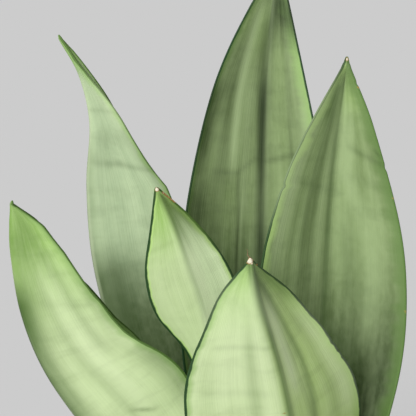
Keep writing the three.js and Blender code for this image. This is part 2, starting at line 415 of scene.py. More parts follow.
def wing_line(leaf, s, widths):
    """One wing's middle line from keel to margin: across, inward and tilt, rows by steps."""
    width = np.maximum(widths, 1)[:, None]
    fold = along(leaf["fold"], s)[:, None] * np.minimum(width / 2.5, 1)

    def slope(m):
        return np.radians(smooth(m / leaf["keel"]) * (fold + leaf["flare"] * (m - 0.5)))

    middle = (np.arange(WING_STEPS) + 0.5) / WING_STEPS
    angle = slope(middle[None, :])
    start = np.zeros((len(s), 1))
    across = np.hstack([start, np.cumsum(np.cos(angle) * width / WING_STEPS, 1)])
    inward = np.hstack([start, np.cumsum(np.sin(angle) * width / WING_STEPS, 1)])
    return across, inward, slope(np.linspace(0, 1, WING_STEPS + 1)[None, :]), width


def nicked(leaf, half, s, widths):
    """A wing's widths with the small dry nicks in its margin taken out."""
    length = np.linalg.norm(np.diff(leaf["spine"], axis=0), axis=1).sum()
    for side, share, depth, tall in leaf.get("nicks", []):
        if side == half:
            widths = widths - depth * np.exp(-((s - share) * length / tall) ** 2)
    return widths


def relief(leaf, across, s, width):
    """How far the blade is pushed inwards, in mm: its long pleats and a slow wave at its margin."""
    deep = WAVE_DEPTH * across ** 4 * np.sin(s * WAVES + np.sign(across) * 1.3) * smooth(4 * (1 - s))
    for place, depth in leaf.get("pleats", []):
        deep = deep + depth * np.exp(-((across - place) * width / PLEAT_WIDTH) ** 2)
    return deep * smooth(s / 0.3) * smooth(width / 12)


def thickness(m, s):
    blade = BLADE_THICK + (MARGIN_THICK - BLADE_THICK) * m * m
    stout = ROOT_STOUTNESS + (TIP_STOUTNESS - ROOT_STOUTNESS) * s
    return np.maximum(TIP_THICK, blade * stout)


def blade_sections(leaf, s, grow=0.0):
    """Points (rows, loop, 3) in mm, and what each knows: across, up, from the margin."""
    rows = len(s)
    at, up, inward, side = leaf_axes(leaf, s)
    length = np.concatenate([[0], np.cumsum(np.linalg.norm(np.diff(at, axis=0), axis=1))])
    m = np.linspace(0, 1, WING_STEPS + 1)
    points, facts = {}, {}
    for half, widths in ((1, leaf["half_width"]), (-1, leaf.get("other_width", leaf["half_width"]))):
        x, z, tilt, width = wing_line(leaf, s, nicked(leaf, half, s, along(widths, s) + grow))
        thick = thickness(m[None, :], s[:, None]) / 2 + grow
        shift = relief(leaf, half * m[None, :], s[:, None], width)

        def place(x, z, tilt, off):
            flat = half * (x - np.sin(tilt) * off)
            deep = z + np.cos(tilt) * off
            return at[:, None] + flat[..., None] * side[:, None] + deep[..., None] * inward[:, None]

        outer, inner = place(x, z, tilt, shift - thick), place(x, z, tilt, shift + thick)
        edge_thick = thick[:, -1:]
        turn = MARGIN_ROUND[None, :]
        edge = place(x[:, -1:] + np.cos(tilt[:, -1:]) * np.cos(turn) * edge_thick * MARGIN_REACH,
                     z[:, -1:] + np.sin(tilt[:, -1:]) * np.cos(turn) * edge_thick * MARGIN_REACH,
                     tilt[:, -1:], shift[:, -1:] + np.sin(turn) * edge_thick)
        points[half] = outer, inner, edge
        from_edge = (1 - m[None, :]) * width
        facts[half] = (half * m[None, :] + 0 * x, from_edge)
    loop = np.concatenate([points[-1][0][:, :0:-1], points[1][0], points[1][2],
                           points[1][1][:, ::-1], points[-1][1][:, 1:], points[-1][2][:, ::-1]], 1)
    rounds = len(MARGIN_ROUND)

    def run(which, margin):
        return np.concatenate([facts[-1][which][:, :0:-1], facts[1][which], margin(1),
                               facts[1][which][:, ::-1], facts[-1][which][:, 1:], margin(-1)], 1)

    across = run(0, lambda half: np.full((rows, rounds), float(half)))
    from_edge = run(1, lambda half: np.zeros((rows, rounds)))
    facts = np.stack([across, np.repeat(length[:, None], across.shape[1], 1), from_edge], -1)
    return loop, facts, (at[-1], up[-1])


loop, facts, _ = blade_sections(LEAVES["leaf_front"], np.linspace(0, 1, 5))
print("points round one section:", loop.shape[1], " leaf length, mm:", round(facts[-1, 0, 1], 1))


# %% [markdown]
# ## Streaks, marks, dry spots and painted shade
#
# A moonshine leaf has soft streaks that run down from the tip and fan out, a few short marks
# across it, and dry spots at its tip and margin. Some dark strokes are painted shade, in creases
# and grooves and along margins that turn from the lamp, and some are painted shadows that the
# leaves in front cast; a few pale ones are painted light. They could be drawn with nodes, one
# group a stroke, but there are dozens. Here each one is a soft brush stroke through a few places,
# given as the share across the leaf (0 at the keel) and millimetres up it. The strokes are
# painted into the mesh as an attribute, and the finish decides what colour they are.

# %% The strokes on each leaf
# A streak is (strength, width in mm, places); a strength under 0 is darker, over 0 paler.
STREAKS = {
    "leaf_front": [
        # These three darken the crease and the grooves beside it: painted shade. The pale one after
        # them lifts the band between the grooves: painted light.
        (-1.0, 1.8, [(-0.03, 204), (-0.055, 170), (-0.05, 90)]),
        (-0.55, 2.4, [(-0.36, 196), (-0.44, 166), (-0.46, 140), (-0.36, 90)]),
        (-0.3, 1.2, [(-0.26, 196), (-0.34, 166), (-0.33, 110)]),
        (0.7, 4.0, [(-0.22, 180), (-0.23, 165), (-0.22, 130)]),
        (-0.15, 4.0, [(-0.66, 172), (-0.75, 150), (-0.7, 100)]),
        (-0.6, 5.0, [(-0.8, 202), (-0.9, 188), (-0.96, 170)]),
        (0.25, 2.4, [(0.1, 196), (0.14, 175), (0.14, 100)]),
        (-0.25, 4.0, [(0.28, 170), (0.27, 110)]), (0.3, 9.0, [(0.5, 190), (0.5, 130)]),
        # This pale one lifts the other wing near its margin, where the wing flattens towards the lamp:
        # painted light.
        (0.4, 5.0, [(-0.86, 165), (-0.86, 100)])],
    "leaf_left": [
        # This wide dark stroke on the keel is painted shade, where the rounded keel turns down away
        # from the lamp.
        (-0.97, 8.2, [(-0.02, 194), (-0.02, 150), (-0.04, 80)]),
        (-0.5, 5.0, [(-0.2, 225), (-0.15, 200)]),
        (-0.35, 3.0, [(-0.5, 228), (-0.68, 192), (-0.72, 150)]),
        (-0.2, 3.0, [(-0.36, 222), (-0.42, 190), (-0.44, 150), (-0.45, 100)]),
        (-0.8, 1.0, [(-1.0, 233), (-1.0, 203)]), (-0.45, 4.0, [(-0.97, 192), (-0.97, 160)]),
        (-0.6, 6.0, [(-0.97, 140), (-0.95, 100)]),
        (0.3, 5.0, [(-0.5, 200), (-0.56, 160), (-0.58, 110)])],
    "leaf_back_left": [
        (0.4, 1.4, [(-0.02, 256), (-0.02, 190), (-0.02, 150)]),
        (-0.3, 7.0, [(-0.05, 226), (-0.05, 170)]), (0.3, 4.0, [(-0.88, 254), (-0.9, 236)]),
        # The two wide dark strokes, 13 and 12 mm, low on the leaf are the painted shadow of the leaves
        # in front of it.
        (-0.35, 2.5, [(-0.97, 230), (-0.97, 188)]), (-0.9, 13.0, [(-0.12, 172), (-0.2, 60)]),
        (-0.6, 12.0, [(-0.5, 128), (-0.5, 60)])],
    "leaf_small": [
        (-0.75, 1.1, [(-0.03, 214), (-0.04, 185), (-0.04, 150)]),
        (-0.3, 1.6, [(-0.2, 208), (-0.26, 185)]), (0.15, 1.5, [(0.1, 210), (0.12, 170)]),
        (0.75, 4.0, [(-0.2, 185), (-0.2, 120)]),
        (-0.8, 3.4, [(-0.6, 214), (-0.9, 196), (-0.98, 186)]),
        (-0.15, 2.5, [(-0.6, 195), (-0.62, 150)])],
    "leaf_tall": [
        (0.8, 2.4, [(-0.54, 284), (-0.5, 254), (-0.45, 232), (-0.4, 205)]),
        (0.4, 3.0, [(-0.24, 250), (-0.22, 220), (-0.2, 180)]),
        # These two darken the crease: painted shade.
        (-0.6, 3.6, [(-0.08, 290), (0.0, 262), (0.02, 232)]),
        (-0.95, 3.2, [(0.02, 246), (0.04, 200), (0.05, 130)]),
        # These three darken the other wing along its margin, most near the foot: painted shade where
        # that margin turns from the lamp, and low down the painted shadow of the back left leaf.
        (-0.35, 3.0, [(-0.8, 284), (-0.76, 256), (-0.72, 232)]),
        (-0.75, 4.5, [(-0.95, 246), (-0.92, 204)]), (-0.9, 6.5, [(-0.9, 198), (-0.8, 155)]),
        (-0.35, 1.5, [(0.62, 262), (0.56, 225), (0.5, 190)]), (-0.8, 8.0, [(0.1, 292), (0.9, 278)]),
        (-0.8, 6.0, [(0.75, 292), (0.97, 268)]), (0.4, 5.0, [(-0.3, 290), (-0.3, 276)]),
        (0.3, 4.0, [(-0.62, 226), (-0.6, 196)]), (0.35, 2.5, [(0.86, 240), (0.8, 210)]),
        (-0.5, 0.8, [(-0.31, 203), (-0.28, 185), (-0.26, 150)]),
        (0.4, 0.8, [(-0.26, 203), (-0.23, 185), (-0.21, 150)])],
    "leaf_right": [
        (-0.75, 1.9, [(-0.12, 234), (-0.07, 200), (-0.05, 170), (-0.04, 130)]),
        (-0.4, 2.0, [(-0.5, 250), (-0.47, 214), (-0.47, 170)]),
        (-0.25, 2.0, [(-0.36, 240), (-0.34, 190), (-0.32, 140)]),
        (-0.7, 7.0, [(-0.62, 260), (-0.7, 236)]),
        (-0.2, 1.6, [(-0.66, 225), (-0.62, 190), (-0.6, 150)]),
        (0.35, 2.4, [(-0.22, 254), (-0.2, 160)]), (0.5, 3.0, [(-0.96, 250), (-0.96, 190)]),
        (0.55, 3.0, [(-0.86, 214), (-0.82, 190), (-0.84, 168)]),
        (0.35, 4.5, [(0.16, 240), (0.2, 210), (0.48, 190), (0.55, 165), (0.5, 130)]),
        # The two wide 9 mm dark strokes low on the leaf are the painted shadow of the front leaf.
        (-0.35, 3.5, [(0.2, 186), (0.28, 150)]), (-0.5, 9.0, [(0.2, 135), (0.3, 90)]),
        (-0.5, 9.0, [(-0.4, 135), (-0.3, 110)]), (-0.6, 4.0, [(-0.95, 172), (-0.95, 110)])],
}
# A mark is the same, but runs across the leaf.
MARKS = {
    "leaf_front": [
        (-0.22, 1.6, [(0.75, 161), (0.2, 160), (-0.1, 159)]),
        (-0.15, 2.5, [(0.8, 136), (0.1, 134)])],
    "leaf_left": [
        (-0.6, 1.4, [(-0.48, 113), (-0.55, 110), (-0.62, 107)]),
        (-0.15, 3.0, [(-0.9, 178), (-0.3, 184)])],
    "leaf_back_left": [
        (-0.22, 1.2, [(-0.05, 244), (-0.5, 243), (-1.0, 241)]),
        (-0.32, 2.0, [(-0.1, 219), (-0.4, 219), (-0.6, 220)]),
        (-0.25, 1.6, [(-0.5, 219), (-1.0, 217)]), (-0.12, 3.0, [(-0.1, 230), (-0.9, 230)])],
    "leaf_small": [
        (-0.15, 1.5, [(0.9, 190), (0.1, 192)])],
    "leaf_tall": [
        (-0.38, 1.6, [(-0.72, 204), (-0.33, 203), (-0.07, 210), (0.12, 209), (0.62, 213)]),
        (-0.2, 2.0, [(-0.8, 242), (-0.5, 243)])],
    "leaf_right": [
        (-0.35, 1.8, [(0.2, 222), (0.6, 219), (1.0, 216)]), (-0.6, 1.6, [(0.86, 222), (0.97, 220)]),
        (-0.2, 2.0, [(-0.7, 204), (0.1, 201)])],
}
# A dry spot is (amount, size in mm, (across, mm up)); half dry is brown, fully dry is cream.
DRY_SPOTS = {
    "leaf_front": [
        (0.9, 1.0, (0.1, 204)), (0.8, 1.3, (0.4, 202.8)), (0.55, 0.7, (-0.8, 203)),
        (0.5, 0.6, (-0.9, 199)), (0.4, 0.5, (0.53, 123)), (0.4, 0.5, (0.0, 123))],
    "leaf_small": [
        (1.0, 0.9, (0.0, 217)), (0.55, 0.9, (-0.9, 214)), (0.5, 0.9, (-0.95, 212.5)),
        (0.5, 0.8, (-0.97, 211)), (0.5, 0.8, (-0.98, 209.5)), (0.45, 0.8, (-1.0, 208))],
    "leaf_left": [
        (0.6, 0.9, (0.0, 233))],
    "leaf_right": [
        (0.9, 0.9, (0.1, 261)), (0.4, 0.6, (1.0, 249)), (0.35, 0.6, (1.0, 201)),
        (0.3, 1.0, (1.0, 150))],
}


# %% Painting the strokes into a mesh
STREAK_FADE, MARK_FADE = 24, 0.16


def soft_ends(value, places, fade):
    low, high = min(places), max(places)
    return smooth((value - low) / fade + 0.5) * smooth((high - value) / fade + 0.5)


def paint(name, facts):
    """How dark, how pale and how dry each point is, from 0 to 1."""
    across, up, from_edge = np.moveaxis(facts, -1, 0)
    width = from_edge[:, WING_STEPS:WING_STEPS + 1]
    dark, pale, dry = (np.zeros_like(across) for _ in range(3))
    for strokes, along_leaf in ((STREAKS, True), (MARKS, False)):
        for strength, size, places in strokes.get(name, []):
            shares, heights = np.array(sorted(places, key=lambda p: p[1 if along_leaf else 0])).T
            if along_leaf:
                off = (across - np.interp(up, heights, shares)) * width
                ends = soft_ends(up, heights, STREAK_FADE)
            else:
                off = up - np.interp(across, shares, heights)
                ends = soft_ends(across, shares, MARK_FADE)
            mask = abs(strength) * ends * np.exp(-(off / size) ** 2)
            if strength < 0:
                dark = dark + mask * (1 - dark)
            else:
                pale = pale + mask * (1 - pale)
    for amount, size, (share, height) in DRY_SPOTS.get(name, []):
        off = np.hypot((across - share) * width, up - height)
        dry = np.maximum(dry, amount * np.exp(-(off / size) ** 4))
    return np.stack([dark, pale, dry], -1)


print("strokes:", sum(map(len, STREAKS.values())) + sum(map(len, MARKS.values())))


# %% [markdown]
# ## From sections to a mesh
#
# The sections are joined into a skin of four-sided faces. Above the last one the blade runs
# out in a stiff little point, so a few more loops shrink towards it, and both ends close.

# %% A skin over sections
def skin_faces(rows, n):
    """Faces over rows of n points, and a strip across each end from face to face."""
    ids = np.arange(rows * n).reshape(rows, n)
    turn = np.roll(ids, -1, 1)
    faces = np.stack([ids[:-1], ids[1:], turn[1:], turn[:-1]], -1).reshape(-1, 4).tolist()
    span, rounds = 2 * WING_STEPS + 1, len(MARGIN_ROUND)
    inner = 2 * span + rounds - 1
    foot = [[j, j + 1, inner - j - 1, inner - j] for j in range(span - 1)]
    foot += [list(range(span - 1, span + rounds + 1)), list(range(inner, n)) + [0]]
    faces += foot
    faces += [[(rows - 1) * n + j for j in reversed(face)] for face in foot]
    return faces


print("faces round the front blade:", len(skin_faces(5, loop.shape[1])))


# %% A blade as a mesh
BLADE_ROWS = 260
AWN_STEPS, AWN_SHRINK = 6, 0.62


def store(mesh, name, values):
    layer = mesh.attributes.new(name, "FLOAT_VECTOR", "POINT")
    layer.data.foreach_set("vector", values.astype(np.float32).ravel())


def blade_mesh(name, leaf):
    loop, facts, (tip, up) = blade_sections(leaf, np.linspace(0, 1, BLADE_ROWS))
    last, last_facts = loop[-1], facts[-1]
    middle = last.mean(0)
    for k in range(1, AWN_STEPS + 1):
        t = k / AWN_STEPS
        size = 1 - AWN_SHRINK * t ** 1.3
        rise = leaf["awn"] * t
        loop = np.concatenate([loop, [middle + (last - middle) * size + up * rise]])
        facts = np.concatenate([facts, [last_facts + [0, rise, 0]]])
    mesh = bpy.data.meshes.new(name)
    mesh.from_pydata((loop.reshape(-1, 3) * MM).tolist(), [], skin_faces(*loop.shape[:2]))
    store(mesh, "leaf_place", facts)
    store(mesh, "leaf_paint", paint(name, facts))
    return mesh


leaves = {}
for name, leaf in LEAVES.items():
    blade = new_object(name.replace("leaf", "blade"), blade_mesh(name, leaf))
    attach(blade, "root")
    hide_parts(name)
    leaves[name] = blade
    print(name, "faces:", len(blade.data.polygons))


# %% [markdown]
# ## The dry tip of the front leaf
#
# The front leaf's point has dried to a short brown hair that curls to the left. It is a tube
# of a few rings that grow thinner along a bent line, and it starts inside the leaf's tip.

# %% The dry tip
TIP_CURL = [(0.3, 0.0, -1.2), (0.3, 0.0, 0.4), (0.1, -0.1, 1.2), (-0.6, -0.2, 1.8), (-1.3, -0.1, 2.7),
            (-1.2, 0.1, 3.9), (-1.6, 0.1, 5.2)]
TIP_THICKNESS = [0.7, 0.55, 0.4, 0.3, 0.22, 0.15, 0.08]


def tapered_tube(middle, radii, sides=12):
    """A closed tube round a line of points in mm, with a radius at each point."""
    mesh = bmesh.new()
    rings = []
    for at, ahead, radius in zip(middle, np.gradient(middle, axis=0), radii):
        turn = Vector(ahead).to_track_quat("Z", "Y")
        rings.append([mesh.verts.new((Vector(at) + turn @ Vector((
            radius * math.cos(a), radius * math.sin(a), 0))) * MM)
            for a in np.arange(sides) * 2 * math.pi / sides])
    for a, b in zip(rings, rings[1:]):
        for k in range(sides):
            mesh.faces.new((a[k], a[(k + 1) % sides], b[(k + 1) % sides], b[k]))
    mesh.faces.new(rings[0][::-1])
    mesh.faces.new(rings[-1])
    return mesh


s = np.linspace(0, 1, 16)
curl = along(TIP_CURL, s) + np.array(LEAVES["leaf_front"]["spine"][-1])
tip_hair = new_object("dry_tip", tapered_tube(curl, along(TIP_THICKNESS, s)))
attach(tip_hair, "root")
print("dry tip, mm long:", round(sum(np.linalg.norm(np.diff(TIP_CURL, axis=0), axis=1)), 1))


# %% [markdown]
# ## The pot
#
# The photograph ends above the soil, so the pot is finished plainly: a taper with a rounded
# lip, turned like a real one from the outline of its wall. Its foot is a middle pad and an
# outer ring with a groove between them, where four holes let water out, and a notch in the
# ring beside each hole lets it run away. The holes and notches are cut with a Boolean
# modifier, because drawing the faces round them by hand would be longer and no better.

# %% The pot's outline
POT_HEIGHT, POT_TOP_RADIUS, POT_FOOT_RADIUS = 130, 75, 54
POT_WALL, POT_FLOOR, POT_SIDES = 5, 8, 192
GROOVE_INNER, GROOVE_OUTER, GROOVE_DEPTH = 24, 42, 3
DRAINS, DRAIN_RADIUS, NOTCH_WIDTH = 4, 5, 8


def wall_radius(z):
    return POT_FOOT_RADIUS + (POT_TOP_RADIUS - POT_FOOT_RADIUS) * z / POT_HEIGHT


def arc(radius, height, size, start, end, steps=8):
    turn = np.radians(np.linspace(start, end, steps))
    return [(radius + size * math.cos(a), height + size * math.sin(a)) for a in turn]


def pot_outline():
    """Radius and height round the wall, from the middle of the foot to the floor's middle."""
    lip, soft, corner = POT_WALL / 2, 0.7, 5
    inside = wall_radius(POT_FLOOR + corner) - POT_WALL
    foot = [(0, 0), (GROOVE_INNER - 4, 0)] + arc(GROOVE_INNER - soft, soft, soft, -90, 0, 4)
    groove = [(GROOVE_INNER, GROOVE_DEPTH), (GROOVE_OUTER, GROOVE_DEPTH)]
    ring = arc(GROOVE_OUTER + soft, soft, soft, 180, 270, 4)
    ring += arc(wall_radius(0) - 2, 2, 2, -90, 0, 7)
    wall = [(wall_radius(z), z) for z in np.linspace(4, POT_HEIGHT - lip - 1, 26)]
    rim = arc(wall_radius(POT_HEIGHT) - lip, POT_HEIGHT - lip, lip, 0, 180, 15)
    within = [(wall_radius(z) - POT_WALL, z) for z in np.linspace(POT_HEIGHT - 4, 16, 20)]
    floor_corner = arc(inside - corner, POT_FLOOR + corner, corner, 0, -90)
    return foot + groove + ring + wall + rim + within + floor_corner + [(0, POT_FLOOR)]


print("points in the pot's outline:", len(pot_outline()))


# %% The pot, turned and cut
def turned(outline, sides):
    """A body of revolution from an outline that starts and ends on the axis."""
    mesh = bmesh.new()
    angles = np.arange(sides) * 2 * math.pi / sides
    rings = [[mesh.verts.new((r * MM * math.cos(a), r * MM * math.sin(a), z * MM)) for a in angles]
             for r, z in outline[1:-1]]
    low, high = (mesh.verts.new((0, 0, z * MM)) for z in (outline[0][1], outline[-1][1]))
    for k in range(sides):
        nxt = (k + 1) % sides
        mesh.faces.new((low, rings[0][nxt], rings[0][k]))
        mesh.faces.new((high, rings[-1][k], rings[-1][nxt]))
        for a, b in zip(rings, rings[1:]):
            mesh.faces.new((a[k], a[nxt], b[nxt], b[k]))
    return mesh


def drain_cutters():
    """The four round holes and four notches, as one mesh to cut with."""
    mesh = bmesh.new()
    for k in range(DRAINS):
        turn = Matrix.Rotation(2 * math.pi * (k + 0.5) / DRAINS, 4, "Z")
        middle = (GROOVE_INNER + GROOVE_OUTER) / 2
        bmesh.ops.create_cone(mesh, cap_ends=True, segments=40, radius1=DRAIN_RADIUS * MM,
                              radius2=DRAIN_RADIUS * MM, depth=(POT_FLOOR + 2) * MM,
                              matrix=turn @ Matrix.Translation((middle * MM, 0, POT_FLOOR / 2 * MM)))
        start, end = GROOVE_OUTER - 1, POT_FOOT_RADIUS + 2
        size = Matrix.Diagonal(((end - start) * MM, NOTCH_WIDTH * MM, 2 * GROOVE_DEPTH * MM, 1))
        bmesh.ops.create_cube(mesh, size=1.0, matrix=turn
                              @ Matrix.Translation(((start + end) / 2 * MM, 0, 0)) @ size)
    return mesh


def cut(piece, cutter, way="EXACT"):
    """Cuts one solid out of another, and keeps the result as the piece's own mesh."""
    knife = piece.modifiers.new("knife", "BOOLEAN")
    knife.operation, knife.solver, knife.object = "DIFFERENCE", way, cutter
    result = bpy.data.meshes.new_from_object(
        piece.evaluated_get(bpy.context.evaluated_depsgraph_get()))
    piece.modifiers.clear()
    if not result.polygons:
        raise RuntimeError("the cut left nothing of " + piece.name)
    result.materials.clear()
    piece.data = result
    bpy.data.objects.remove(cutter)


pot = new_object("turned_pot", turned(pot_outline(), POT_SIDES))
cut(pot, new_object("drain_cutter", drain_cutters()))
pot.data.set_sharp_from_angle(angle=math.radians(40))
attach(pot, "root")
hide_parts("pot")
print("pot faces:", len(pot.data.polygons))


# %% [markdown]
# ## The soil
#
# Potting soil is a crust of crumbs, bark and a few white grains of perlite. Its body is one
# solid with a lumpy top, and each leaf stands in a hole in it that is its own section, a
# little larger. The lumps come from two sizes of noise over rings of points. The exact way
# of cutting leaves nothing where the roots' sharp folds cross, so the manifold way cuts here.

# %% The soil's body
SOIL_TOP, SOIL_FOOT, SOIL_SIDES, SOIL_RINGS = 118, 8.3, 224, 54
ROOT_GAP, WALL_GAP = 0.3, 0.5


def soil_lumps(x, y):
    """Height above the soil's level, in mm, at a place in mm."""
    wide = fractal(Vector((x / 14, y / 14, 3.7)), 0.8, 2.1, 3)
    fine = fractal(Vector((x / 3.2, y / 3.2, 9.1)), 0.7, 2.2, 3)
    return 1.5 * wide + 0.8 * fine


def soil_body():
    reach = wall_radius(SOIL_TOP - 2) - POT_WALL - WALL_GAP
    outline = [(0, SOIL_FOOT), (wall_radius(SOIL_FOOT + 5) - POT_WALL - 7, SOIL_FOOT),
               (wall_radius(SOIL_FOOT + 5) - POT_WALL - 0.6, SOIL_FOOT + 5)]
    outline += [(wall_radius(z) - POT_WALL - WALL_GAP, z) for z in (40, 70, 100, 113)]
    outline += [(reach * k / SOIL_RINGS, SOIL_TOP) for k in range(SOIL_RINGS, -1, -1)]
    mesh = turned(outline, SOIL_SIDES)
    for v in mesh.verts:
        if v.co.z > (SOIL_TOP - 1) * MM:
            v.co.z += soil_lumps(v.co.x / MM, v.co.y / MM) * MM
    return mesh


def root_cutters():
    """A solid for each leaf's root, a little larger than the leaf."""
    points, faces = [], []
    for leaf in LEAVES.values():
        loop, _, _ = blade_sections(leaf, np.linspace(0, 1 / 6, 16), ROOT_GAP)
        loop[0] -= leaf_axes(leaf, np.zeros(1))[1] * ROOT_GAP
        faces += [[len(points) + j for j in face] for face in skin_faces(*loop.shape[:2])]
        points += (loop.reshape(-1, 3) * MM).tolist()
    mesh = bpy.data.meshes.new("roots")
    mesh.from_pydata(points, [], faces)
    return mesh


soil = new_object("soil_bed", soil_body())
cut(soil, new_object("root_cutter", root_cutters()), way="MANIFOLD")
soil.data.set_sharp_from_angle(angle=math.radians(60))
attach(soil, "root")
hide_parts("soil")
print("soil faces:", len(soil.data.polygons))


# %% [markdown]
# ## Crumbs, bark and perlite
#
# Loose bits lie on the soil. Each is a small ball of few faces, squashed, turned and knocked
# out of shape at random from a fixed seed, so every run gives the same ones. They are real
# faces joined in three pieces, because instances would be lost when the model is exported.

# %% Loose bits on the soil
def leaf_feet():
    """Points round and inside every leaf near the soil's level, in mm."""
    feet = []
    for leaf in LEAVES.values():
        loop, _, _ = blade_sections(leaf, np.linspace(0, 1 / 5, 60))
        near = loop[(loop[:, :, 2].max(1) > SOIL_TOP - 3) & (loop[:, :, 2].min(1) < SOIL_TOP + 6)]
        feet += [near.reshape(-1, 3), ((near + near[:, ::-1]) / 2).reshape(-1, 3)]
    return np.concatenate(feet)[:, :2]


FEET = leaf_feet()
BED_RADIUS = wall_radius(SOIL_TOP) - POT_WALL


def lay_bits(name, seed, count, smallest, largest, flat, rough):
    """Bits of the given sizes in mm, flattened and knocked about, joined as one piece."""
    dice = np.random.default_rng(seed)
    ball = bmesh.new()
    bmesh.ops.create_icosphere(ball, subdivisions=2, radius=1.0)
    shape = np.array([v.co for v in ball.verts])
    corners = [[v.index for v in f.verts] for f in ball.faces]
    ball.free()
    points, faces = [], []
    while len(points) < count:
        radius = smallest + (largest - smallest) * dice.random() ** 2.2
        way, out = dice.random() * 2 * math.pi, BED_RADIUS * math.sqrt(dice.random())
        x, y = out * math.cos(way), out * math.sin(way)
        if out > BED_RADIUS - radius - 1 or np.hypot(*(FEET - (x, y)).T).min() < radius + 0.8:
            continue
        bit = shape * radius * (1 + rough * dice.standard_normal((len(shape), 1)))
        bit = bit * [1, 1 - 0.45 * dice.random(), flat * (0.8 + 0.4 * dice.random())]
        lean = Matrix.Rotation(dice.random() * 6.3, 3, "Z") @ Matrix.Rotation(
            dice.normal() * 0.35, 3, "X") @ Matrix.Rotation(dice.random() * 6.3, 3, "Z")
        bit = bit @ np.array(lean).T + [x, y, SOIL_TOP + soil_lumps(x, y) + radius * flat * 0.35]
        faces += [[len(points) * len(shape) + j for j in face] for face in corners]
        points.append(bit)
    mesh = bpy.data.meshes.new(name)
    mesh.from_pydata((np.concatenate(points) * MM).tolist(), [], faces)
    piece = new_object(name, mesh)
    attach(piece, "root")
    print(name, "pieces:", count, " faces:", len(faces))
    return piece


crumbs = lay_bits("soil_crumbs", 5, 900, 0.5, 2.1, 0.8, 0.10)
bark = lay_bits("bark_chips", 11, 110, 1.6, 4.6, 0.35, 0.07)
perlite = lay_bits("perlite_grains", 23, 90, 0.7, 1.9, 0.85, 0.05)


# %% [markdown]
# ## The look of a leaf
#
# The skin is silvery green, and each leaf changes from foot to tip and from wing to wing; part
# of that change is painted shade and painted light: the dark feet of the back leaves, the darker
# far wing of the left leaf, the bright wing of the small leaf and the rims of the tall and right
# leaves. Its fibres run from foot to tip, faint darker bands cross them, and a thin dark line
# edges it.
# The fibres and bands are one node group and the margin is another, each built once and
# placed in every leaf's material with its own values. They work from the share across and the
# millimetres up the leaf, so the fibres draw together at the tip as real ones do.

# %% Fibres and bands
fibres, given, made = effect("Leaf fibres", {
    "Across": ("value", 0.0), "Up": ("value", 0.0), "Seed": ("value", 0.0)},
    {"Streaks": "value", "Fibres": "value", "Bands": "value", "Mottle": "value"})


def leaf_noise(tree, wide, tall, detail, low, high):
    """Noise so many cells across a wing and so many mm tall, stretched to run from 0 to 1."""
    place = combine(tree, times(tree, given["Across"], wide),
                    calc(tree, "DIVIDE", given["Up"], tall), given["Seed"])
    return step(tree, noise(tree, place, 1.0, detail), low, high)


feed(fibres, made["Streaks"], leaf_noise(fibres, 5.5, 70.0, 4.0, 0.3, 0.7))
feed(fibres, made["Fibres"], leaf_noise(fibres, 62.0, 45.0, 2.0, 0.3, 0.7))
feed(fibres, made["Bands"], leaf_noise(fibres, 1.7, 7.5, 3.0, 0.46, 0.68))
feed(fibres, made["Mottle"], leaf_noise(fibres, 14.0, 5.0, 3.0, 0.35, 0.65))
print("fibre group nodes:", len(fibres.nodes))

# %% The margin's line and rim
margin, given, made = effect("Leaf margin", {
    "From edge": ("value", 0.0), "Up": ("value", 0.0), "Side": ("value", 0.0),
    "Line": ("value", 0.6), "Rim": ("value", 4.0)}, {"Line": "value", "Rim": "value"})
uneven = step(margin, noise(margin, combine(margin, given["Side"], calc(
    margin, "DIVIDE", given["Up"], 9.0), 0.0), 1.0, 3.0), 0.3, 0.7, to=(0.7, 1.3))
distance = calc(margin, "DIVIDE", given["From edge"], uneven)
line_end = times(margin, given["Line"], 1.5)
feed(margin, made["Line"], calc(margin, "SUBTRACT", 1.0, step(
    margin, distance, times(margin, given["Line"], 0.7), line_end)))
feed(margin, made["Rim"], calc(margin, "SUBTRACT", 1.0, step(
    margin, distance, line_end, given["Rim"])))
print("margin group nodes:", len(margin.nodes))

# %% The tones of the leaves
# One small set of paint-chart colours, in round numbers, which all six leaves share. Where the looks
# below say so, some of them are painted shade and painted light.
TONES = {
    "foot": (120, 145, 100), "shade": (65, 85, 45), "night": (35, 50, 20),
    "silver": (200, 220, 165), "lime": (195, 225, 140), "bright": (230, 250, 200),
    "leaf": (150, 180, 105), "fern": (150, 190, 95), "sage": (165, 185, 145),
    "moss": (125, 145, 95), "olive": (90, 120, 50), "deep": (60, 90, 30),
    "pale": (220, 235, 190), "haze": (175, 195, 145), "ink": (30, 65, 30),
    "seam": (90, 120, 60), "rim": (150, 185, 110), "glow": (185, 220, 130),
}
